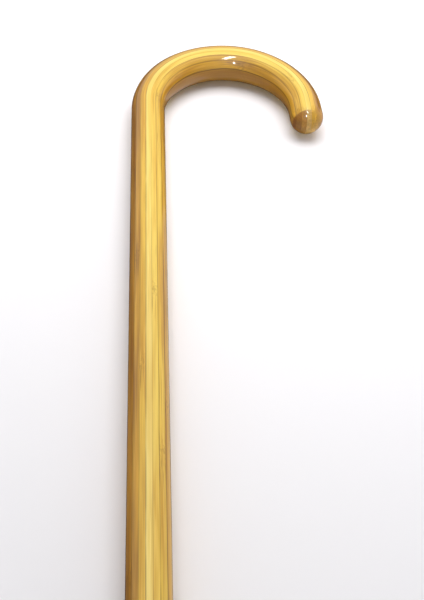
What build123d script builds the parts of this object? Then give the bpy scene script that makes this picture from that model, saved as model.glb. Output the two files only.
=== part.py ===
from build123d import *
from build123d.topology import SkipClean
import math
import os

# A single point cane of laminated bamboo, in millimetres.
# The origin is the centre of the ferrule's ground face. +Z runs up the shaft
# and +X points from the shaft towards the nose of the crook.

# Rubber ferrule
FERRULE_HEIGHT = 48.0
FLARE_RADIUS = 19.0
FLARE_HEIGHT = 7.0
WAIST_RADIUS = 14.6
WAIST_HEIGHT = 16.0
LIP_RADIUS = 13.4
FLARE_HOLLOW_RADIUS = 15.8  # radius half way up the flare's hollow curve
RUBBER_EDGE = 1.2
BORE_CLEARANCE = 0.05
BORE_MOUTH_CHAMFER = 0.8
SOLE_THICKNESS = 8.0

# Bands moulded round the ferrule's sleeve
BAND_COUNT = 3
BAND_PITCH = 5.5
BAND_WIDTH = 2.6
BAND_PROUD = 0.8
FIRST_BAND_HEIGHT = 30.5

# Ring grooves moulded into the ferrule's ground face
GROOVE_COUNT = 3
GROOVE_PITCH = 4.0
GROOVE_WIDTH = 1.8
GROOVE_DEPTH = 1.6
FIRST_GROOVE_RADIUS = 7.4

# Steel washer, snapped into an undercut below the bore
WASHER_RADIUS = 10.6
WASHER_HOLE_RADIUS = 2.5
WASHER_THICKNESS = 1.6

# Wooden stick
FOOT_RADIUS = 9.75
FOOT_CHAMFER = 1.2
FOOT_RUN = 50.0  # straight turned end, below the taper
MIDDLE_RADIUS = 10.5
MIDDLE_HEIGHT = 500.0  # where the lower, quicker taper meets the upper one
NECK_RADIUS = 11.0
SPRING_HEIGHT = 850.0  # where the straight shaft turns into the crook
CROOK_RADIUS = 52.7  # centreline of the crook
CROOK_ANGLE = 178.0
GRIP_RADIUS = 11.95
SWELL_ARC = 40.0  # length along the crook over which the neck swells to the grip
THINNING_ANGLE = 110.0  # from here on round the crook the grip thins towards the nose
NOSE_RADIUS = 11.1
NOSE_RUN = 7.0  # straight length past the crook's arc
NOSE_LENGTH = 11.2  # domed end past the straight length
SECTION_ARCS = 18  # equal arcs that the round sections are drawn with

# Strips glued flat on each other, in order from the outside of the bend. Each runs
# in one length from foot to nose, and is drawn as a straight shaft length and a bent
# crook length that meet at the neck.
STRIP_NAMES = (
    "outer_face_strip",
    "outer_second_strip",
    "outer_core_strip",
    "core_strip",
    "inner_core_strip",
    "inner_second_strip",
    "inner_face_strip",
)
STRIP_THICKNESS = 3.2
CORE_OFFSET = -0.1  # middle of the core strip from the stick's axis, outwards positive
CUT_REACH = 20.0  # the cutting slabs run this far past the stick on every side

# Worked out from the above
BORE_FLOOR = SOLE_THICKNESS + WASHER_THICKNESS
BORE_RADIUS = FOOT_RADIUS + BORE_CLEARANCE
CROOK_CENTRE = (CROOK_RADIUS, SPRING_HEIGHT)
SWELL_ANGLE = math.degrees(SWELL_ARC / CROOK_RADIUS)


def crook_arc(radius, start_angle, end_angle):
    """An arc about the crook's centre, from and to angles turned through from the shaft."""
    return CenterArc(CROOK_CENTRE, radius, 180 - start_angle, start_angle - end_angle)


def on_side_plane(curve):
    """A curve drawn in the side view, stood up in the XZ plane."""
    return Plane.XZ * curve


def round_section(radius):
    """A round section drawn as equal arcs, so that thin strips cut from it keep their curve."""
    step = 360 / SECTION_ARCS
    return make_face([CenterArc((0, 0), radius, index * step, step) for index in range(SECTION_ARCS)])


def across(path, position, radius):
    """A round section square to a path, at a position from 0 to 1 along it."""
    plane = Plane(origin=path @ position, x_dir=(0, 1, 0), z_dir=path % position)
    return plane * round_section(radius)


def at_height(height, radius):
    """A round section of the straight shaft."""
    return Plane(origin=(0, 0, height), x_dir=(0, 1, 0), z_dir=(0, 0, 1)) * round_section(radius)


def make_shaft():
    """The straight stick: a turned foot, then a taper in two stretches up to the neck."""
    sections = [
        at_height(BORE_FLOOR, FOOT_RADIUS - FOOT_CHAMFER),
        at_height(BORE_FLOOR + FOOT_CHAMFER, FOOT_RADIUS),
        at_height(BORE_FLOOR + FOOT_RUN, FOOT_RADIUS),
        at_height(MIDDLE_HEIGHT, MIDDLE_RADIUS),
        at_height(SPRING_HEIGHT, NECK_RADIUS),
    ]
    return loft(sections, ruled=True, clean=False)


def make_crook():
    """The stretches of the bend: a swelling neck, an even grip, a thinning end and a nose."""
    neck_path = on_side_plane(crook_arc(CROOK_RADIUS, 0, SWELL_ANGLE))
    neck_ends = [across(neck_path, 0, NECK_RADIUS), across(neck_path, 1, GRIP_RADIUS)]
    neck = sweep(neck_ends, path=neck_path, multisection=True, clean=False)

    grip_path = on_side_plane(crook_arc(CROOK_RADIUS, SWELL_ANGLE, THINNING_ANGLE))
    grip = sweep(across(grip_path, 0, GRIP_RADIUS), path=grip_path, clean=False)

    end_path = on_side_plane(crook_arc(CROOK_RADIUS, THINNING_ANGLE, CROOK_ANGLE))
    end_sections = [across(end_path, 0, GRIP_RADIUS), across(end_path, 1, NOSE_RADIUS)]
    end = sweep(end_sections, path=end_path, multisection=True, clean=False)

    run = extrude(across(end_path, 1, NOSE_RADIUS), NOSE_RUN)

    half_dome = make_face(
        [
            Line((0, 0), (NOSE_RADIUS, 0)),
            EllipticalCenterArc((0, 0), NOSE_RADIUS, NOSE_LENGTH, start_angle=0, arc_size=90),
            Line((0, NOSE_LENGTH), (0, 0)),
        ]
    )
    dome = revolve(Plane.XZ * half_dome, Axis.Z)
    dome_base = Plane(origin=end_path @ 1 + (end_path % 1) * NOSE_RUN, z_dir=end_path % 1)
    return [neck, grip, end, run, dome_base * dome]


def strip_side(offset):
    """One side of a strip: down the shaft, round the crook and out past the nose."""
    bend = crook_arc(CROOK_RADIUS + offset, 0, CROOK_ANGLE)
    foot_end = Vector(-offset, BORE_FLOOR - CUT_REACH)
    nose_end = bend @ 1 + (bend % 1) * (NOSE_RUN + NOSE_LENGTH + CUT_REACH)
    return [Line(foot_end, bend @ 0), bend, Line(bend @ 1, nose_end)]


def strip_slab(outer_offset, inner_offset):
    """The space between two glue faces, wide enough to hold the whole stick."""
    outer = strip_side(outer_offset)
    inner = strip_side(inner_offset)
    foot_cap = Line(outer[0] @ 0, inner[0] @ 0)
    nose_cap = Line(outer[-1] @ 1, inner[-1] @ 1)
    side_view = make_face(outer + [nose_cap] + inner + [foot_cap])
    return extrude(Plane.XZ * side_view, amount=CUT_REACH, both=True)


def make_strips():
    """The stick cut along its glue faces, each strip's shaft and crook lengths keyed by name."""
    shaft = make_shaft()
    bends = make_crook()
    middle = (len(STRIP_NAMES) - 1) / 2
    strips = {}
    for index, name in enumerate(STRIP_NAMES):
        centre = CORE_OFFSET + (middle - index) * STRIP_THICKNESS
        outer_offset = centre + STRIP_THICKNESS / 2
        inner_offset = centre - STRIP_THICKNESS / 2
        if index == 0:
            outer_offset = CUT_REACH
        if index == len(STRIP_NAMES) - 1:
            inner_offset = -CUT_REACH
        slab = strip_slab(outer_offset, inner_offset)
        with SkipClean():
            strips[f"{name}_shaft"] = shaft & slab
            strips[f"{name}_crook"] = sum((bend & slab for bend in bends), Part())
    return strips


def make_washer():
    """The flat disc that keeps the wooden foot from cutting through the rubber sole."""
    disc = extrude(Circle(WASHER_RADIUS) - Circle(WASHER_HOLE_RADIUS), WASHER_THICKNESS)
    return Pos(0, 0, SOLE_THICKNESS) * disc


def make_ferrule():
    """The moulded tip: flared sole, waisted sleeve, raised bands and a ringed tread."""
    flare = ThreePointArc(
        (FLARE_RADIUS, FLARE_HEIGHT),
        (FLARE_HOLLOW_RADIUS, (FLARE_HEIGHT + WAIST_HEIGHT) / 2),
        (WAIST_RADIUS, WAIST_HEIGHT),
    )
    outline = make_face(
        [
            Line((0, 0), (FLARE_RADIUS, 0)),
            Line((FLARE_RADIUS, 0), (FLARE_RADIUS, FLARE_HEIGHT)),
            flare,
            Line((WAIST_RADIUS, WAIST_HEIGHT), (LIP_RADIUS, FERRULE_HEIGHT)),
            Line((LIP_RADIUS, FERRULE_HEIGHT), (0, FERRULE_HEIGHT)),
            Line((0, FERRULE_HEIGHT), (0, 0)),
        ]
    )
    body = revolve(Plane.XZ * outline, Axis.Z)
    rims = body.edges().filter_by(GeomType.CIRCLE).sort_by(Axis.Z)
    body = fillet([rims[0], rims[-1]], RUBBER_EDGE)

    for index in range(BAND_COUNT):
        height = FIRST_BAND_HEIGHT + index * BAND_PITCH
        rise = (height - WAIST_HEIGHT) / (FERRULE_HEIGHT - WAIST_HEIGHT)
        sleeve_radius = WAIST_RADIUS + (LIP_RADIUS - WAIST_RADIUS) * rise
        band_section = Pos(sleeve_radius, height) * Ellipse(BAND_PROUD, BAND_WIDTH / 2)
        body += revolve(Plane.XZ * band_section, Axis.Z)

    for index in range(GROOVE_COUNT):
        radius = FIRST_GROOVE_RADIUS + index * GROOVE_PITCH
        ring = Circle(radius + GROOVE_WIDTH / 2) - Circle(radius - GROOVE_WIDTH / 2)
        body -= extrude(ring, GROOVE_DEPTH)

    bore_depth = FERRULE_HEIGHT - BORE_FLOOR
    bore = Cylinder(BORE_RADIUS, bore_depth, align=(Align.CENTER, Align.CENTER, Align.MIN))
    mouth = Cone(
        BORE_RADIUS,
        BORE_RADIUS + BORE_MOUTH_CHAMFER,
        BORE_MOUTH_CHAMFER,
        align=(Align.CENTER, Align.CENTER, Align.MAX),
    )
    pocket = Cylinder(WASHER_RADIUS, WASHER_THICKNESS, align=(Align.CENTER, Align.CENTER, Align.MIN))
    body -= Pos(0, 0, BORE_FLOOR) * bore
    body -= Pos(0, 0, FERRULE_HEIGHT) * mouth
    body -= Pos(0, 0, SOLE_THICKNESS) * pocket
    return body


def main():
    """Build every piece and write each to its own file."""
    pieces = make_strips()
    pieces["rubber_ferrule"] = make_ferrule()
    pieces["steel_washer"] = make_washer()
    os.makedirs("parts", exist_ok=True)
    for name, piece in pieces.items():
        export_step(piece, f"parts/{name}.step")


main()
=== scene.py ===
import logging
import math
from dataclasses import dataclass
from enum import Enum

import bmesh
import bpy
from mathutils import Matrix, Vector


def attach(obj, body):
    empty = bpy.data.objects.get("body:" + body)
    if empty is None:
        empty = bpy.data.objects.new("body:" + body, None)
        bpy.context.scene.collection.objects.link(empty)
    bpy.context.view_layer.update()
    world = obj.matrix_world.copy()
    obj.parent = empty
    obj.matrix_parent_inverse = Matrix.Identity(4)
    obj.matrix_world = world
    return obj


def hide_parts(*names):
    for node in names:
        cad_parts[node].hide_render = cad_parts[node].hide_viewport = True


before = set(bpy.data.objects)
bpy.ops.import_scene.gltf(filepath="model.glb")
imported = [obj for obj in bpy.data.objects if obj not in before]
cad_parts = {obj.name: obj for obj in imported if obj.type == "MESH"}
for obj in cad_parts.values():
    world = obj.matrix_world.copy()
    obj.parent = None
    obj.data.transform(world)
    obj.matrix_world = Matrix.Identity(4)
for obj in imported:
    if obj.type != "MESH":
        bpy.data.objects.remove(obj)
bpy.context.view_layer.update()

log = logging.getLogger("cane")

MM = 0.001

# Each vertex's place in the wood: along the stick, out from its axis, across it, in millimetres
GRAIN = "grain"


# Places of the colour sockets on the mix node
MIX_UNDER = 6
MIX_OVER = 7
MIX_RESULT = 2


class Face(Enum):
    """The material slots of a strip's mesh."""

    VARNISHED = 0
    GLUED = 1


Colour = tuple[float, float, float]


def shade(hex_code: str) -> Colour:
    """Turn a painter's colour code into the linear colour that the shaders take.

    Args:
        hex_code: six hexadecimal digits, red first.

    Returns:
        The linear red, green and blue.
    """
    parts = [int(hex_code[start:start + 2], 16) / 255 for start in (0, 2, 4)]
    red, green, blue = [
        part / 12.92 if part <= 0.04045 else ((part + 0.055) / 1.055) ** 2.4 for part in parts
    ]
    return red, green, blue


@dataclass(frozen=True)
class Step:
    """A smooth step from one level to another."""

    start: float
    end: float
    before: float = 0.0
    after: float = 1.0


@dataclass(frozen=True)
class FibreLayer:
    """One size of fibre in the bamboo's grain."""

    length: float  # in millimetres, like the width
    width: float
    detail: float  # how many finer layers are added
    roughness: float  # how strong those are
    shift: float  # moves this layer's pattern off the others


@dataclass(frozen=True)
class GrainPlace:
    """Sockets that hold a place in the wood, in millimetres."""

    along: bpy.types.NodeSocket
    depth: bpy.types.NodeSocket
    across: bpy.types.NodeSocket


class Recipe:
    """A material's node tree, with short calls for the nodes that the finishes share."""

    def __init__(self, name: str) -> None:
        """Start an empty material.

        Args:
            name: the material's name.
        """
        self.material = bpy.data.materials.new(name)
        self.material.use_nodes = True
        self.tree = self.material.node_tree
        self.tree.nodes.clear()

    def node(self, kind: str, **settings: object) -> bpy.types.Node:
        """Add a node and set its own fields.

        Args:
            kind: the node's type name, without its ShaderNode prefix.
            **settings: the fields to set.

        Returns:
            The new node.
        """
        made = self.tree.nodes.new("ShaderNode" + kind)
        for field, value in settings.items():
            setattr(made, field, value)
        return made

    def feed(self, socket: bpy.types.NodeSocket, value: object) -> None:
        """Give a socket a link or a plain value.

        Args:
            socket: the input to fill.
            value: an output socket, a number, a vector or a colour.
        """
        if isinstance(value, bpy.types.NodeSocket):
            self.tree.links.new(value, socket)
        elif isinstance(value, tuple) and len(value) == 3 and socket.type == "RGBA":
            socket.default_value = (*value, 1.0)
        else:
            socket.default_value = value

    def sums(self, operation: str, first: object, second: object = 0.0,
             third: object = 0.0) -> bpy.types.NodeSocket:
        """Work out one number from up to three.

        Args:
            operation: the sum's name, such as MULTIPLY.
            first: the first number or socket.
            second: the second number or socket.
            third: the third number or socket.

        Returns:
            The result's socket.
        """
        made = self.node("Math", operation=operation)
        for socket, value in zip(made.inputs, (first, second, third)):
            self.feed(socket, value)
        return made.outputs[0]

    def vector(self, x: object, y: object, z: object) -> bpy.types.NodeSocket:
        """Join three numbers into a vector.

        Args:
            x: the first number or socket.
            y: the second.
            z: the third.

        Returns:
            The vector's socket.
        """
        made = self.node("CombineXYZ")
        for socket, value in zip(made.inputs, (x, y, z)):
            self.feed(socket, value)
        return made.outputs[0]

    def noise(self, place: object, scale: float, detail: float = 2.0,
              roughness: float = 0.5) -> bpy.types.NodeSocket:
        """Soft random blotches.

        Args:
            place: the vector that places the pattern.
            scale: blotches per unit of that vector.
            detail: how many finer layers are added.
            roughness: how strong the finer layers are.

        Returns:
            A number from 0 to 1, about 0.5 on average.
        """
        made = self.node("TexNoise", noise_dimensions="3D")
        self.feed(made.inputs["Vector"], place)
        made.inputs["Scale"].default_value = scale
        made.inputs["Detail"].default_value = detail
        made.inputs["Roughness"].default_value = roughness
        made.inputs["Distortion"].default_value = 0.0
        return made.outputs["Fac"]

    def band(self, value: object, low: object, high: object, to_low: float = 0.0,
             to_high: float = 1.0) -> bpy.types.NodeSocket:
        """A smooth step from one number to another.

        Args:
            value: what is measured.
            low: where the step starts.
            high: where it ends.
            to_low: the result before it.
            to_high: the result after it.

        Returns:
            The step's socket.
        """
        made = self.node("MapRange", interpolation_type="SMOOTHSTEP", clamp=True)
        for name, given in (("Value", value), ("From Min", low), ("From Max", high),
                            ("To Min", to_low), ("To Max", to_high)):
            self.feed(made.inputs[name], given)
        return made.outputs["Result"]

    def step(self, value: object, step: Step) -> bpy.types.NodeSocket:
        """A smooth step as a finish gives it.

        Args:
            value: what is measured.
            step: the step's ends and levels.

        Returns:
            The step's socket.
        """
        return self.band(value, step.start, step.end, step.before, step.after)

    def over(self, amount: object, under: object, top: object) -> bpy.types.NodeSocket:
        """Lay one colour over another.

        Args:
            amount: how much of the top colour shows.
            under: the colour below.
            top: the colour laid on.

        Returns:
            The mixed colour's socket.
        """
        made = self.node("Mix", data_type="RGBA", blend_type="MIX")
        self.feed(made.inputs["Factor"], amount)
        self.feed(made.inputs[MIX_UNDER], under)
        self.feed(made.inputs[MIX_OVER], top)
        return made.outputs[MIX_RESULT]

    def bump(self, height: object, strength: float, distance: float) -> bpy.types.NodeSocket:
        """Turn a height into a surface normal.

        Args:
            height: the height, from 0 to 1.
            strength: how much of it shows.
            distance: the height of 1, in metres.

        Returns:
            The normal's socket.
        """
        made = self.node("Bump")
        made.inputs["Strength"].default_value = strength
        made.inputs["Distance"].default_value = distance
        self.feed(made.inputs["Height"], height)
        return made.outputs["Normal"]

    def surface(self, **inputs: object) -> bpy.types.Material:
        """Finish the material with one principled shader.

        Args:
            **inputs: its inputs, with spaces in their names written as underscores.

        Returns:
            The finished material.
        """
        shader = self.node("BsdfPrincipled")
        for name, value in inputs.items():
            self.feed(shader.inputs[name.replace("_", " ")], value)
        out = self.node("OutputMaterial")
        self.feed(out.inputs["Surface"], shader.outputs["BSDF"])
        return self.material


@dataclass(frozen=True)
class CulmNodeMarks:
    """The bent fibres, dark ridge, specks and trailing threads at a bamboo culm's node."""

    sway_scale: float = 0.5
    sway_reach: float = 9.0  # how far the node wanders up and down the stick, in millimetres
    sway_across: float = 0.6
    fibres_bend: Step = Step(2.0, 12.0, 1.0, 0.0)
    ridge: Step = Step(0.2, 1.8, 0.55, 0.0)
    mottle_along: float = 0.35
    mottle_scale: float = 1.3
    speck_shows: Step = Step(0.50, 0.66)
    speck_reach: Step = Step(1.0, 9.0, 0.55, 0.0)
    patchy: Step = Step(0.40, 0.58)
    tail_starts: Step = Step(0.5, 3.0)
    tail_ends: Step = Step(10.0, 24.0, 1.0, 0.0)
    thread_along: float = 0.02
    thread_scale: float = 1.7
    thread_shows: Step = Step(0.54, 0.62, 0.0, 0.8)

    def lay(self, recipe: Recipe, place: GrainPlace, node_place: float, internode: float,
            seed: float) -> tuple[bpy.types.NodeSocket, bpy.types.NodeSocket]:
        """Lay the marks at every node of one strip.

        Args:
            recipe: the material being built.
            place: the place in the wood.
            node_place: one node's place along the stick.
            internode: the nodes' spacing.
            seed: shifts the pattern.

        Returns:
            How strongly the fibres bend, and how strongly the mark shows.
        """
        along, depth, across = place.along, place.depth, place.across
        tilted = recipe.vector(seed, depth, recipe.sums("MULTIPLY", across, self.sway_across))
        sway = recipe.noise(tilted, self.sway_scale, 2.0)
        centred = recipe.sums("SUBTRACT", along, node_place + self.sway_reach / 2)
        bowed = recipe.sums("MULTIPLY_ADD", sway, self.sway_reach, centred)
        turns = recipe.sums("ROUND", recipe.sums("DIVIDE", bowed, internode))
        away = recipe.sums("ABSOLUTE", recipe.sums("MULTIPLY_ADD", turns, -internode, bowed))
        ridge = recipe.step(away, self.ridge)
        squeezed = recipe.vector(recipe.sums("MULTIPLY", along, self.mottle_along), depth, across)
        mottle = recipe.noise(squeezed, self.mottle_scale, 3.0)
        speck_reach = recipe.step(away, self.speck_reach)
        speck = recipe.sums("MULTIPLY", recipe.step(mottle, self.speck_shows), speck_reach)
        patchy = recipe.sums("MULTIPLY", ridge, recipe.step(mottle, self.patchy))
        mark = recipe.sums("MAXIMUM", patchy, speck)
        below = recipe.sums("MULTIPLY_ADD", turns, internode, recipe.sums("MULTIPLY", bowed, -1.0))
        tail_starts = recipe.step(below, self.tail_starts)
        reach = recipe.sums("MULTIPLY", tail_starts, recipe.step(below, self.tail_ends))
        drawn_out = recipe.vector(recipe.sums("MULTIPLY", along, self.thread_along), depth, across)
        thread = recipe.noise(drawn_out, self.thread_scale, 1.0)
        tail = recipe.sums("MULTIPLY", reach, recipe.step(thread, self.thread_shows))
        return recipe.step(away, self.fibres_bend), recipe.sums("MAXIMUM", mark, tail)


@dataclass(frozen=True)
class NoseStain:
    """The end wood on the domed nose, where varnish has soaked into the cut fibres."""

    pore_scale: float = 2.2
    pore_roughness: float = 0.6
    blotch_scale: float = 0.30
    pale_share: float = 1.35  # the paler blotches, as a share of the end tone
    dark_share: float = 0.45  # and the pores
    blotch_shows: Step = Step(0.40, 0.66)
    pores_show: Step = Step(0.50, 0.68, 0.0, 0.7)
    edge_wander: float = 1.6  # how far the stain's edge wanders, in millimetres
    begins: Step = Step(-0.2, 0.7, 0.0, 0.88)

    def lay(self, recipe: Recipe, colour: object, place: GrainPlace, tone: Colour, start: float,
            seed: float) -> bpy.types.NodeSocket:
        """Stain the nose.

        Args:
            recipe: the material being built.
            colour: the strip's colour so far.
            place: the place in the wood.
            tone: the end wood's colour.
            start: where the stain begins, in millimetres from the neck.
            seed: shifts the pattern.

        Returns:
            The colour with its end wood.
        """
        cut = recipe.vector(seed, place.depth, place.across)
        pores = recipe.noise(cut, self.pore_scale, 3.0, self.pore_roughness)
        blotch = recipe.noise(cut, self.blotch_scale, 2.0)
        pale = tuple(min(1.0, part * self.pale_share) for part in tone)
        dark = tuple(part * self.dark_share for part in tone)
        end = recipe.over(recipe.step(blotch, self.blotch_shows), tone, pale)
        end = recipe.over(recipe.step(pores, self.pores_show), end, dark)
        centred = recipe.sums("SUBTRACT", blotch, 0.5)
        edge = recipe.sums("MULTIPLY_ADD", centred, self.edge_wander, start)
        begun = recipe.step(recipe.sums("SUBTRACT", place.along, edge), self.begins)
        return recipe.over(begun, colour, end)


@dataclass(frozen=True)
class UnderBendShade:
    """Painted shade: a brown wedge along the shaded inside of the bend, with a dark line at its edge
    that paints the crisp edge of a reflection.
    """

    slope: float = 0.32  # half the wedge's width for each millimetre of depth
    back_share: float = 0.35  # how much the back's distance counts, so that the wedge runs on there
    edge_wander: float = 1.6
    shows: Step = Step(-0.1, 0.3, 0.75, 0.0)
    painted_reflection_edge: Step = Step(0.1, 0.6, 0.8, 0.0)
    starts: Step = Step(0.0, 14.0)

    def lay(self, recipe: Recipe, colour: object, place: GrainPlace, wander: object, amount: float,
            brown: Colour, line: Colour) -> bpy.types.NodeSocket:
        """Lay the painted shade over a strip's colour.

        Args:
            recipe: the material being built.
            colour: the strip's colour so far.
            place: the place in the wood.
            wander: a slow drift along the stick, from 0 to 1.
            amount: how strongly the painted shade shows.
            brown: its colour.
            line: the colour of its edge, a painted reflection edge.

        Returns:
            The colour with its painted shade.
        """
        front = recipe.sums("MULTIPLY", place.across, -1.0)
        back = recipe.sums("MULTIPLY", place.across, self.back_share)
        off_middle = recipe.sums("MAXIMUM", front, back)
        aside = recipe.sums("MULTIPLY_ADD", place.depth, self.slope, off_middle)
        centred = recipe.sums("SUBTRACT", aside, self.edge_wander / 2)
        uneven = recipe.sums("MULTIPLY_ADD", wander, self.edge_wander, centred)
        bend = recipe.band(place.along, self.starts.start, self.starts.end, 0.0, amount)
        within = recipe.sums("MULTIPLY", recipe.step(uneven, self.shows), bend)
        colour = recipe.over(within, colour, brown)
        # The dark line at the wedge's edge is a painted reflection edge.
        painted_reflection_edge = recipe.step(recipe.sums("ABSOLUTE", uneven), self.painted_reflection_edge)
        return recipe.over(recipe.sums("MULTIPLY", painted_reflection_edge, bend), colour, line)


@dataclass(frozen=True)
class BambooFinish:
    """Straight-grained bamboo under thick clear varnish."""

    tone: Colour  # the strip's main colour
    streak: Colour  # its darker fibres
    end_tone: Colour  # the darker wood where the domed nose cuts the fibres; on the inner strips partly painted shade of the nose's shaded side
    node_place: float  # one culm node's place along the stick, in millimetres from the neck
    internode: float  # spacing of the culm nodes
    seed: float  # shifts the grain so that no two strips match
    glue_high: float  # the strip's outer glue face, in millimetres from the stick's axis
    glue_dark: float  # how dark the outer glue line shows
    streaky: float  # how strongly its dark fibres stand out
    under_bend_shade: float  # how strongly the painted brown shade shows on the inside of the bend
    nose_start: float  # where the nose's stain begins, in millimetres from the neck

    drift: FibreLayer = FibreLayer(length=90.0, width=5.0, detail=2.0, roughness=0.5, shift=3.1)
    broad: FibreLayer = FibreLayer(length=60.0, width=1.5, detail=3.0, roughness=0.55, shift=11.7)
    fine: FibreLayer = FibreLayer(length=38.0, width=0.42, detail=3.0, roughness=0.6, shift=23.9)
    dashes: FibreLayer = FibreLayer(length=24.0, width=0.34, detail=2.0, roughness=0.5, shift=41.3)
    veins: FibreLayer = FibreLayer(length=70.0, width=0.60, detail=1.0, roughness=0.5, shift=57.9)
    drift_shows: Step = Step(0.36, 0.66, 0.0, 0.85)
    broad_shows: Step = Step(0.50, 0.72, 0.0, 0.55)
    fine_shows: Step = Step(0.48, 0.70, 0.0, 0.45)
    dark_fibres: Step = Step(0.62, 0.74)
    lighter_share: float = 1.16
    lighter_lift: float = 0.02
    deep_share: float = 0.55  # the darkest fibres, as a share of the streak's colour
    glue_share: float = 0.35  # and the glue lines
    mark_strength: float = 0.75
    node_bend: float = 0.35  # how far the fibres bend at a node, in millimetres
    wander_scale: float = 0.03
    glue_breaks: Step = Step(0.30, 0.55, 0.35, 1.0)
    glue_line: Step = Step(0.25, 0.65)
    roughness: Step = Step(0.3, 0.7, 0.36, 0.50)
    ripple_scale: float = 0.035
    ripple_height: float = 0.0006
    grain_height: float = 0.00015
    nodes: CulmNodeMarks = CulmNodeMarks()
    nose: NoseStain = NoseStain()
    shade_wedge: UnderBendShade = UnderBendShade()

    def fibres(self, recipe: Recipe, place: GrainPlace, layer: FibreLayer) -> bpy.types.NodeSocket:
        """Random fibres.

        Args:
            recipe: the material being built.
            place: the place in the wood.
            layer: their size.

        Returns:
            A number from 0 to 1.
        """
        laid = recipe.vector(
            recipe.sums("MULTIPLY_ADD", place.along, 1 / layer.length, self.seed + layer.shift),
            recipe.sums("MULTIPLY", place.depth, 1 / layer.width),
            recipe.sums("MULTIPLY", place.across, 1 / layer.width),
        )
        return recipe.noise(laid, 1.0, layer.detail, layer.roughness)

    def material(self, name: str) -> bpy.types.Material:
        """Build the varnished face's material.

        Args:
            name: the material's name.

        Returns:
            The material.
        """
        recipe = Recipe(name)
        grain = recipe.node("Attribute", attribute_name=GRAIN)
        split = recipe.node("SeparateXYZ")
        recipe.feed(split.inputs[0], grain.outputs["Vector"])
        place = GrainPlace(*split.outputs)

        near_node, at_node = self.nodes.lay(recipe, place, self.node_place, self.internode, self.seed)
        bent_depth = recipe.sums("MULTIPLY_ADD", near_node, self.node_bend, place.depth)
        bent = GrainPlace(place.along, bent_depth, place.across)
        drift = self.fibres(recipe, bent, self.drift)
        broad = self.fibres(recipe, bent, self.broad)
        fine = self.fibres(recipe, bent, self.fine)
        dashes = self.fibres(recipe, bent, self.dashes)
        veins = self.fibres(recipe, bent, self.veins)

        lighter = tuple(min(1.0, part * self.lighter_share + self.lighter_lift) for part in self.tone)
        deep = tuple(part * self.deep_share for part in self.streak)
        colour = recipe.over(recipe.step(drift, self.drift_shows), self.tone, self.streak)
        colour = recipe.over(recipe.step(broad, self.broad_shows), colour, lighter)
        colour = recipe.over(recipe.step(fine, self.fine_shows), colour, self.streak)
        for threads in (veins, dashes):
            shown = recipe.band(threads, self.dark_fibres.start, self.dark_fibres.end, 0.0, self.streaky)
            colour = recipe.over(shown, colour, deep)
        colour = recipe.over(recipe.sums("MULTIPLY", at_node, self.mark_strength), colour, deep)

        slow = recipe.vector(recipe.sums("MULTIPLY", place.along, self.wander_scale), self.seed, 0.0)
        wander = recipe.noise(slow, 1.0, 2.0)
        from_high = recipe.sums("ABSOLUTE", recipe.sums("SUBTRACT", self.glue_high, place.depth))
        line = recipe.band(from_high, self.glue_line.start, self.glue_line.end, self.glue_dark, 0.0)
        broken = recipe.sums("MULTIPLY", line, recipe.step(wander, self.glue_breaks))
        glue = tuple(part * self.glue_share for part in self.streak)
        colour = recipe.over(broken, colour, glue)
        # Painted shade on the inside of the bend, with a painted reflection edge.
        colour = self.shade_wedge.lay(recipe, colour, place, wander, self.under_bend_shade, self.streak, glue)
        colour = self.nose.lay(recipe, colour, place, self.end_tone, self.nose_start, self.seed)

        ripple = recipe.noise(grain.outputs["Vector"], self.ripple_scale, 1.0, 0.4)
        return recipe.surface(
            Base_Color=colour,
            Roughness=recipe.step(broad, self.roughness),
            Normal=recipe.bump(fine, 0.12, self.grain_height),
            Specular_IOR_Level=0.35,
            Coat_Weight=1.0,
            Coat_Roughness=0.035,
            Coat_IOR=1.47,
            Coat_Normal=recipe.bump(ripple, 0.04, self.ripple_height),
        )


@dataclass(frozen=True)
class GluedFaceFinish:
    """The sawn faces inside the stick: dry bamboo in the strip's tone, with darker grain."""

    tone: Colour
    stretch: tuple[float, float, float] = (0.03, 1.5, 1.5)  # long along the stick, fine across it
    dark_share: float = 0.6
    grain_shows: Step = Step(0.35, 0.7)
    grain_height: float = 0.0002

    def material(self, name: str) -> bpy.types.Material:
        """Build the material.

        Args:
            name: the material's name.

        Returns:
            The material.
        """
        recipe = Recipe(name)
        place = recipe.node("Attribute", attribute_name=GRAIN)
        stretch = recipe.node("Mapping")
        stretch.inputs["Scale"].default_value = self.stretch
        recipe.feed(stretch.inputs["Vector"], place.outputs["Vector"])
        grain = recipe.noise(stretch.outputs["Vector"], 1.0, 3.0, 0.6)
        dark = tuple(part * self.dark_share for part in self.tone)
        colour = recipe.over(recipe.step(grain, self.grain_shows), self.tone, dark)
        normal = recipe.bump(grain, 0.3, self.grain_height)
        return recipe.surface(Base_Color=colour, Roughness=0.7, Normal=normal)


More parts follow.
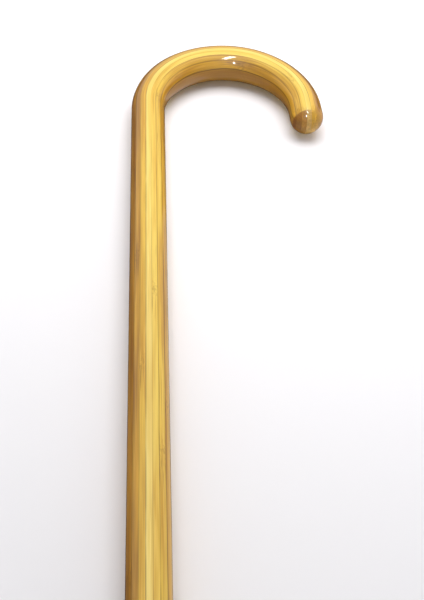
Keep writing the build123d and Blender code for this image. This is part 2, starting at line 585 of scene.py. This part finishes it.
@dataclass(frozen=True)
class RubberFinish:
    """Moulded black rubber, with patchy dust that is thickest near the ground and patchy roughness."""

    tone: Colour = (0.020, 0.0195, 0.019)
    dust: Colour = (0.115, 0.105, 0.092)
    pebble_scale: float = 2600.0
    pebble_height: float = 0.00008  # in metres
    cloud_scale: float = 90.0
    dust_shows: Step = Step(0.42, 0.70)
    dust_height: Step = Step(0.0, 0.012, 0.75, 0.12)  # thickest at the ground
    roughness: Step = Step(0.3, 0.7, 0.52, 0.74)

    def material(self, name: str) -> bpy.types.Material:
        """Build the material.

        Args:
            name: the material's name.

        Returns:
            The material.
        """
        recipe = Recipe(name)
        place = recipe.node("TexCoord").outputs["Object"]
        pebble = recipe.noise(place, self.pebble_scale, 2.0, 0.6)
        cloud = recipe.noise(place, self.cloud_scale, 4.0, 0.6)
        height = recipe.node("SeparateXYZ")
        recipe.feed(height.inputs[0], place)
        low = recipe.step(height.outputs["Z"], self.dust_height)
        dusty = recipe.sums("MULTIPLY", recipe.step(cloud, self.dust_shows), low)
        colour = recipe.over(dusty, self.tone, self.dust)
        rough = recipe.step(cloud, self.roughness)
        normal = recipe.bump(pebble, 0.35, self.pebble_height)
        return recipe.surface(Base_Color=colour, Roughness=rough, Normal=normal, Specular_IOR_Level=0.42)


@dataclass(frozen=True)
class SteelFinish:
    """Zinc-plated sheet steel with faint stamping marks."""

    tone: Colour = (0.56, 0.57, 0.58)
    spangle_scale: float = 420.0
    spangle_shows: Step = Step(0.35, 0.68)
    scratch_stretch: tuple[float, float, float] = (2400.0, 130.0, 900.0)
    scratch_height: float = 0.00003  # in metres
    dull_share: float = 0.78
    roughness: Step = Step(0.35, 0.70, 0.26, 0.46)

    def material(self, name: str) -> bpy.types.Material:
        """Build the material.

        Args:
            name: the material's name.

        Returns:
            The material.
        """
        recipe = Recipe(name)
        place = recipe.node("TexCoord").outputs["Object"]
        spangle = recipe.noise(place, self.spangle_scale, 3.0, 0.6)
        scratch = recipe.node("Mapping")
        scratch.inputs["Scale"].default_value = self.scratch_stretch
        recipe.feed(scratch.inputs["Vector"], place)
        lines = recipe.noise(scratch.outputs["Vector"], 1.0, 2.0, 0.6)
        dull = tuple(part * self.dull_share for part in self.tone)
        colour = recipe.over(recipe.step(spangle, self.spangle_shows), self.tone, dull)
        rough = recipe.step(lines, self.roughness)
        normal = recipe.bump(lines, 0.12, self.scratch_height)
        return recipe.surface(Base_Color=colour, Metallic=1.0, Roughness=rough, Normal=normal)


@dataclass(frozen=True)
class StickShape:
    """The wooden stick's centreline and thickness, in metres."""

    foot_height: float = 9.6 * MM
    foot_radius: float = 9.75 * MM
    foot_chamfer: float = 1.2 * MM
    foot_run: float = 50.0 * MM
    middle_height: float = 500.0 * MM
    middle_radius: float = 10.5 * MM
    spring_height: float = 850.0 * MM
    neck_radius: float = 11.0 * MM
    crook_radius: float = 52.7 * MM
    crook_angle: float = math.radians(178.0)
    thinning_angle: float = math.radians(110.0)
    grip_radius: float = 11.93 * MM
    swell_arc: float = 40.0 * MM
    swell_eased: float = 0.4  # how much of the swell is eased, the rest being straight
    nose_radius: float = 11.08 * MM
    nose_run: float = 7.0 * MM
    nose_length: float = 11.2 * MM
    lower_steps: int = 60  # sections along each length
    upper_steps: int = 80
    bend_steps: int = 170
    run_steps: int = 6
    dome_steps: int = 22

    @property
    def crook_length(self) -> float:
        """Length of the bend along the stick's axis."""
        return self.crook_radius * self.crook_angle

    @property
    def dome_start(self) -> float:
        """Where the domed end begins, along the stick's axis from the neck."""
        return self.crook_length + self.nose_run

    def at(self, along: float) -> tuple[Vector, Vector]:
        """Find the axis at a place along the stick.

        Args:
            along: distance from the neck, up and round the bend, or negative down the shaft.

        Returns:
            The point on the axis, and the outward direction in the bend's plane.
        """
        if along <= 0:
            return Vector((0, 0, self.spring_height + along)), Vector((-1, 0, 0))
        angle = min(along / self.crook_radius, self.crook_angle)
        outward = Vector((-math.cos(angle), 0, math.sin(angle)))
        point = Vector((self.crook_radius, 0, self.spring_height)) + outward * self.crook_radius
        beyond = max(0.0, along - self.crook_length)
        return point + Vector((math.sin(angle), 0, math.cos(angle))) * beyond, outward

    def radius(self, along: float) -> float:
        """Half the stick's thickness at a place along it.

        Args:
            along: distance from the neck.

        Returns:
            The radius.
        """
        height = self.spring_height + along
        if along > self.dome_start:
            rise = min(1.0, (along - self.dome_start) / self.nose_length)
            return self.nose_radius * math.sqrt(max(0.0, 1 - rise * rise))
        thinning = self.crook_radius * self.thinning_angle
        if along > thinning:
            part = min(1.0, (along - thinning) / (self.crook_length - thinning))
            return self.grip_radius + (self.nose_radius - self.grip_radius) * part
        if along > 0:
            part = min(1.0, along / self.swell_arc)
            eased = part * part * (3 - 2 * part)
            swell = self.swell_eased * eased + (1 - self.swell_eased) * part
            return self.neck_radius + (self.grip_radius - self.neck_radius) * swell
        if height > self.middle_height:
            part = (height - self.middle_height) / (self.spring_height - self.middle_height)
            return self.middle_radius + (self.neck_radius - self.middle_radius) * part
        taper_bottom = self.foot_height + self.foot_run
        if height > taper_bottom:
            part = (height - taper_bottom) / (self.middle_height - taper_bottom)
            return self.foot_radius + (self.middle_radius - self.foot_radius) * part
        return self.foot_radius - max(0.0, self.foot_chamfer - (height - self.foot_height))

    def stations(self, glue_faces: list[float]) -> list[float]:
        """The places along the stick where sections are drawn.

        Args:
            glue_faces: the glue faces' offsets, each of which runs out on the dome at a section.

        Returns:
            Distances from the neck, rising.
        """
        foot = self.foot_height - self.spring_height
        low = [foot, foot + self.foot_chamfer, foot + self.foot_run]
        middle = self.middle_height - self.spring_height
        shaft = spread(low[-1], middle, self.lower_steps) + spread(middle, 0.0, self.upper_steps)
        bend = spread(0.0, self.crook_length, self.bend_steps)
        run = spread(self.crook_length, self.dome_start, self.run_steps)
        dome = [
            self.dome_start + self.nose_length * math.sin(math.pi / 2 * step / self.dome_steps)
            for step in range(1, self.dome_steps + 1)
        ]
        ends = [
            self.dome_start + self.nose_length * math.sqrt(1 - (face / self.nose_radius) ** 2)
            for face in glue_faces
        ]
        places = sorted(set(low + shaft + bend + run + dome + ends))
        return [place for place, after in zip(places, places[1:] + [math.inf]) if after - place > 1e-7]


def spread(start: float, end: float, count: int) -> list[float]:
    """Equal steps from start to end, both included."""
    return [start + (end - start) * step / count for step in range(count + 1)]


def new_object(name: str, mesh: bpy.types.Mesh) -> bpy.types.Object:
    """Put a mesh into the scene.

    Args:
        name: the object's name.
        mesh: its mesh.

    Returns:
        The object.
    """
    made = bpy.data.objects.new(name, mesh)
    bpy.context.scene.collection.objects.link(made)
    return made


@dataclass
class Strip:
    """One bamboo strip of the stick, as a closed mesh that follows the bend."""

    name: str
    outer: float  # the offset of its outer glue face from the axis, in metres
    inner: float
    finish: BambooFinish
    round_steps: int = 14
    flat_steps: int = 4
    crease: float = math.radians(40)  # sharper edges than this stay sharp

    def section(self, radius: float) -> list[tuple[float, float]]:
        """The strip's outline where the stick has this radius.

        Args:
            radius: the stick's radius.

        Returns:
            Offsets outwards and across, going once round.
        """
        high = max(-radius, min(radius, self.outer))
        low = max(-radius, min(radius, self.inner))
        start, end = (
            math.acos(max(-1.0, min(1.0, edge / radius))) if radius > 0 else 0.0
            for edge in (high, low)
        )
        front = [
            (radius * math.cos(angle), radius * math.sin(angle))
            for angle in spread(start, end, self.round_steps)
        ]
        half = front[-1][1]
        under = [(front[-1][0], across) for across in spread(half, -half, self.flat_steps)][1:-1]
        back = [(outward, -across) for outward, across in reversed(front)]
        half = front[0][1]
        top = [(front[0][0], across) for across in spread(-half, half, self.flat_steps)][1:-1]
        return front + under + back + top

    def is_round(self, index: int) -> bool:
        """Whether one step of the outline lies on the round surface.

        Args:
            index: the point that the step starts from.

        Returns:
            True on the round surface, False on a glue face.
        """
        steps = self.round_steps
        second = steps + self.flat_steps
        return index < steps or second <= index < second + steps

    def reaches(self, shape: StickShape, along: float) -> bool:
        """Whether the strip is still there, or just ends, at a place along the stick.

        Args:
            shape: the stick that it is part of.
            along: distance from the neck.

        Returns:
            True if a section is drawn there.
        """
        nearest = 0.0 if self.inner <= 0 <= self.outer else min(abs(self.inner), abs(self.outer))
        return shape.radius(along) >= nearest - 1e-6

    def build(self, shape: StickShape, stations: list[float]) -> bpy.types.Object:
        """Make the strip's mesh.

        Args:
            shape: the stick that it is part of.
            stations: the places along the stick where sections are drawn.

        Returns:
            The strip's object, with its materials.
        """
        cloth = bmesh.new()
        grain = cloth.verts.layers.float_vector.new(GRAIN)
        rings = []
        for along in stations:
            if not self.reaches(shape, along):
                continue
            point, outward = shape.at(along)
            ring = []
            for depth, across in self.section(shape.radius(along)):
                vertex = cloth.verts.new(point + outward * depth + Vector((0, 1, 0)) * across)
                vertex[grain] = Vector((along, depth, across)) / MM
                ring.append(vertex)
            rings.append(ring)
        count = len(rings[0])
        for below, above in zip(rings, rings[1:]):
            for index in range(count):
                after = (index + 1) % count
                face = cloth.faces.new((below[index], below[after], above[after], above[index]))
                side = Face.VARNISHED if self.is_round(index) else Face.GLUED
                face.material_index = side.value
                face.smooth = True
        cloth.faces.new(list(reversed(rings[0]))).material_index = Face.GLUED.value
        cloth.faces.new(rings[-1]).material_index = Face.GLUED.value
        bmesh.ops.remove_doubles(cloth, verts=cloth.verts, dist=1e-6)
        bmesh.ops.dissolve_degenerate(cloth, edges=cloth.edges, dist=1e-7)
        bmesh.ops.recalc_face_normals(cloth, faces=cloth.faces)
        for edge in cloth.edges:
            kinds = {face.material_index for face in edge.link_faces}
            edge.smooth = len(kinds) == 1 and edge.calc_face_angle(0.0) < self.crease
        mesh = bpy.data.meshes.new(self.name)
        cloth.to_mesh(mesh)
        cloth.free()
        strip = new_object(self.name, mesh)
        mesh.materials.append(self.finish.material(self.name + "_varnished"))
        mesh.materials.append(GluedFaceFinish(self.finish.tone).material(self.name + "_glued"))
        return strip


@dataclass(frozen=True)
class StripLook:
    """What sets one strip's look apart from the others': its wood, and on some strips painted shade. Its
    colours are painter's codes.
    """

    name: str
    tone: str
    streak: str
    end_tone: str
    node_place: float
    internode: float
    glue_dark: float
    streaky: float
    under_bend_shade: float = 0.0


STRIP_LOOKS = (
    # The outer face strip's darker tone is partly its own wood and partly painted shade for the shaft's
    # dim outer side.
    StripLook(
        name="outer_face_strip", tone="c48c28", streak="8c560a", end_tone="a8741c",
        node_place=-60.0, internode=262.0, glue_dark=0.0, streaky=0.35,
    ),
    StripLook(
        name="outer_second_strip", tone="cc9820", streak="905c04", end_tone="b4841c",
        node_place=-134.0, internode=420.0, glue_dark=0.60, streaky=0.40,
    ),
    StripLook(
        name="outer_core_strip", tone="dcb238", streak="bc8610", end_tone="c09024",
        node_place=-210.0, internode=430.0, glue_dark=0.50, streaky=0.35,
    ),
    StripLook(
        name="core_strip", tone="eace6a", streak="d8b242", end_tone="b88e42",
        node_place=-350.0, internode=640.0, glue_dark=0.85, streaky=0.22,
    ),
    StripLook(
        # The inner strips' darker end tones are partly their end wood and partly painted shade on the
        # nose's shaded side.
        name="inner_core_strip", tone="e2c04c", streak="cc9c24", end_tone="9c660e",
        node_place=-162.0, internode=305.0, glue_dark=0.30, streaky=0.40,
    ),
    StripLook(
        name="inner_second_strip", tone="dab438", streak="ba8610", end_tone="84520a",
        node_place=5.0, internode=266.0, glue_dark=0.50, streaky=0.65,
    ),
    # The inner face strip carries the painted shade on the inside of the bend.
    StripLook(
        name="inner_face_strip", tone="d6a32c", streak="a06c08", end_tone="844c06",
        node_place=-233.0, internode=333.0, glue_dark=0.60, streaky=0.60, under_bend_shade=1.0,
    ),
)


@dataclass
class LaminatedStick:
    """The seven strips glued into one round stick and bent into the crook."""

    shape: StickShape
    thickness: float = 3.2 * MM
    core_offset: float = -0.1 * MM
    stain_back: float = 4.5 * MM  # how far onto the dome the darker end wood starts
    seed_step: float = 17.3  # keeps the strips' grain apart
    looks: tuple[StripLook, ...] = STRIP_LOOKS

    def build(self) -> list[bpy.types.Object]:
        """Make every strip and put it on the stick's body.

        Returns:
            The strips' objects, from the outside of the bend inwards.
        """
        middle = (len(self.looks) - 1) / 2
        faces = [
            self.core_offset + (middle - index - 0.5) * self.thickness
            for index in range(len(self.looks) - 1)
        ]
        stations = self.shape.stations(faces)
        beyond = 2 * self.shape.grip_radius
        edges = [beyond] + faces + [-beyond]
        made = []
        for index, look in enumerate(self.looks):
            name = look.name
            finish = BambooFinish(
                tone=shade(look.tone),
                streak=shade(look.streak),
                end_tone=shade(look.end_tone),
                node_place=look.node_place,
                internode=look.internode,
                seed=self.seed_step * (index + 1),
                glue_high=edges[index] / MM,
                glue_dark=look.glue_dark,
                streaky=look.streaky,
                under_bend_shade=look.under_bend_shade,
                nose_start=(self.shape.dome_start + self.stain_back) / MM,
            )
            strip = Strip(
                name=name + "_bent", outer=edges[index], inner=edges[index + 1], finish=finish
            )
            piece = strip.build(self.shape, stations)
            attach(piece, "stick")
            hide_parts(f"{name}_shaft", f"{name}_crook")
            made.append(piece)
            log.info("%s: %d faces", piece.name, len(piece.data.polygons))
        return made


class Aim(Enum):
    """What a lamp points at, as a place from the neck."""

    NECK = (0.0, 0.0, 0.0)
    ARCH = (0.055, 0.0, 0.05)


@dataclass(frozen=True)
class Lamp:
    """A soft rectangular lamp."""

    name: str
    place: tuple[float, float, float]  # from the neck, in metres
    aim: Aim
    size: tuple[float, float]
    power: float  # in watts
    roll: float = 0.0  # in degrees
    mirrored: bool = True  # whether the varnish mirrors it
    lights: bool = True  # whether it lights matt surfaces

    def build(self, neck: Vector) -> bpy.types.Object:
        """Hang the lamp.

        Args:
            neck: the point where the shaft turns into the crook.

        Returns:
            The lamp.
        """
        light = bpy.data.lights.new(self.name, "AREA")
        light.shape = "RECTANGLE"
        light.size, light.size_y = self.size
        light.energy = self.power
        made = bpy.data.objects.new(self.name, light)
        bpy.context.scene.collection.objects.link(made)
        made.location = neck + Vector(self.place)
        towards = Vector(self.aim.value) - Vector(self.place)
        made.rotation_euler = towards.to_track_quat("-Z", "Y").to_euler()
        made.rotation_euler.rotate_axis("Z", math.radians(self.roll))
        made.visible_glossy = self.mirrored
        made.visible_diffuse = self.lights
        return made


LAMPS = (
    Lamp(
        name="front", place=(0.08, -0.46, 0.12), aim=Aim.ARCH, size=(0.5, 0.4), power=2.5,
        mirrored=False,
    ),
    Lamp(
        name="side", place=(0.60, -0.22, 0.20), aim=Aim.NECK, size=(0.5, 0.6), power=0.8,
        mirrored=False,
    ),
    Lamp(name="rim", place=(0.75, 0.45, 0.10), aim=Aim.NECK, size=(1.2, 1.2), power=2.2),
    Lamp(
        name="strip_light", place=(0.075, -1.14, -0.32), aim=Aim.ARCH, size=(0.12, 0.44), power=5.6,
        roll=18.0, lights=False,
    ),
    Lamp(
        name="spot", place=(-0.075, -0.565, -0.580), aim=Aim.ARCH, size=(0.045, 0.045), power=2.6,
        lights=False,
    ),
)


@dataclass(frozen=True)
class Viewpoint:
    """The camera, looking up at the crook from below and in front."""

    lens: float = 54.0  # in millimetres, like the sensor
    sensor: float = 36.0
    place: tuple[float, float, float] = (0.003208, -0.388748, -0.474012)  # from the neck
    pitch: float = 0.677  # in radians, like the yaw and roll
    yaw: float = 0.064
    roll: float = -0.007

    def build(self, neck: Vector) -> bpy.types.Object:
        """Place the camera and make it the scene's own.

        Args:
            neck: the point where the shaft turns into the crook.

        Returns:
            The camera.
        """
        lens = bpy.data.cameras.new("camera")
        lens.lens = self.lens
        lens.sensor_width = self.sensor
        made = bpy.data.objects.new("camera", lens)
        bpy.context.scene.collection.objects.link(made)
        made.location = neck + Vector(self.place)
        right, up, ahead = Vector((1, 0, 0)), Vector((0, 0, 1)), Vector((0, 1, 0))
        ahead, up = turned(ahead, up, self.pitch)
        ahead, right = turned(ahead, right, self.yaw)
        right, up = turned(right, up, self.roll)
        made.rotation_euler = Matrix((right, up, -ahead)).transposed().to_euler()
        bpy.context.scene.camera = made
        return made


def turned(first: Vector, second: Vector, angle: float) -> tuple[Vector, Vector]:
    """Turn two directions at right angles to each other, the first towards the second.

    Args:
        first: one direction.
        second: the other.
        angle: how far they turn, in radians.

    Returns:
        Both directions after the turn.
    """
    across, along = math.sin(angle), math.cos(angle)
    return along * first + across * second, along * second - across * first


@dataclass
class Studio:
    """The plain floor, the board behind the cane, and the light in the room."""

    board_gap: float = 0.0125  # from the cane's middle plane
    board_reach: float = 0.45
    board_low: float = 0.30
    reach: float = 6.0  # of the floor, each way
    floor_tone: Colour = (0.80, 0.79, 0.81)
    board_tone: Colour = (0.86, 0.85, 0.87)
    horizon: float = 0.02  # half the width of the change from the front room to the back one
    bright: float = 0.78  # the room in front
    dim: float = 0.05  # the room behind the board

    def plain(self, name: str, tone: Colour, one_sided: bool) -> bpy.types.Material:
        """A plain matt paint, which can be made to show from its front only.

        Args:
            name: the material's name.
            tone: its colour.
            one_sided: whether its back is clear.

        Returns:
            The material.
        """
        recipe = Recipe(name)
        paint = recipe.node("BsdfDiffuse")
        recipe.feed(paint.inputs["Color"], tone)
        shown = paint.outputs["BSDF"]
        if one_sided:
            clear = recipe.node("BsdfTransparent")
            pick = recipe.node("MixShader")
            recipe.feed(pick.inputs[0], recipe.node("NewGeometry").outputs["Backfacing"])
            recipe.feed(pick.inputs[1], shown)
            recipe.feed(pick.inputs[2], clear.outputs["BSDF"])
            shown = pick.outputs["Shader"]
        out = recipe.node("OutputMaterial")
        recipe.feed(out.inputs["Surface"], shown)
        return recipe.material

    def sheet(self, name: str, corners: list[tuple[float, float, float]],
              paint: bpy.types.Material) -> bpy.types.Object:
        """A flat sheet for the stage.

        Args:
            name: the object's name.
            corners: its four corners, anticlockwise from the side that shows.
            paint: its material.

        Returns:
            The sheet.
        """
        mesh = bpy.data.meshes.new(name)
        mesh.from_pydata(corners, [], [(0, 1, 2, 3)])
        mesh.materials.append(paint)
        made = new_object(name, mesh)
        return made

    def sky(self) -> None:
        """Light the room evenly from the front and leave it dim behind the board."""
        world = bpy.data.worlds.new("studio")
        world.use_nodes = True
        tree = world.node_tree
        tree.nodes.clear()
        place = tree.nodes.new("ShaderNodeTexCoord")
        split = tree.nodes.new("ShaderNodeSeparateXYZ")
        front = tree.nodes.new("ShaderNodeMapRange")
        seen = tree.nodes.new("ShaderNodeLightPath")
        either = tree.nodes.new("ShaderNodeMath")
        either.operation = "MAXIMUM"
        glow = tree.nodes.new("ShaderNodeBackground")
        out = tree.nodes.new("ShaderNodeOutputWorld")
        front.inputs["From Min"].default_value = self.horizon
        front.inputs["From Max"].default_value = -self.horizon
        front.inputs["To Min"].default_value = self.dim
        front.inputs["To Max"].default_value = self.bright
        glow.inputs["Color"].default_value = (1.0, 1.0, 1.0, 1.0)
        tree.links.new(place.outputs["Generated"], split.inputs[0])
        tree.links.new(split.outputs["Y"], front.inputs["Value"])
        tree.links.new(front.outputs["Result"], either.inputs[0])
        tree.links.new(seen.outputs["Is Camera Ray"], either.inputs[1])
        tree.links.new(either.outputs[0], glow.inputs["Strength"])
        tree.links.new(glow.outputs[0], out.inputs["Surface"])
        bpy.context.scene.world = world

    def build(self, neck: Vector) -> None:
        """Set the stage round the cane.

        Args:
            neck: the point where the shaft turns into the crook.
        """
        pale = self.plain("pale_paint", self.floor_tone, one_sided=False)
        board_paint = self.plain("board_paint", self.board_tone, one_sided=True)
        far = self.reach
        self.sheet("floor", [(-far, -far, 0), (far, -far, 0), (far, far, 0), (-far, far, 0)], pale)
        back = self.board_gap
        left, right = neck.x - self.board_reach, neck.x + self.board_reach
        low, high = self.board_low, neck.z + self.board_reach
        corners = [(left, back, low), (right, back, low), (right, back, high), (left, back, high)]
        board = self.sheet("board", corners, board_paint)
        board.visible_shadow = False
        board.visible_glossy = False
        self.sky()
        for lamp in LAMPS:
            lamp.build(neck)
        bpy.context.scene.view_settings.view_transform = "Standard"


def main() -> None:
    """Build the cane and its studio."""
    logging.basicConfig(level=logging.INFO, format="%(name)s: %(message)s")
    shape = StickShape()
    neck = Vector((0.0, 0.0, shape.spring_height))
    Viewpoint().build(neck)
    LaminatedStick(shape).build()
    for name, finish in (("rubber_ferrule", RubberFinish()), ("steel_washer", SteelFinish())):
        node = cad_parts[name]
        node.data.materials.clear()
        node.data.materials.append(finish.material(name))
        log.info("%s: dressed", name)
    Studio().build(neck)


if __name__ == "__main__":
    main()
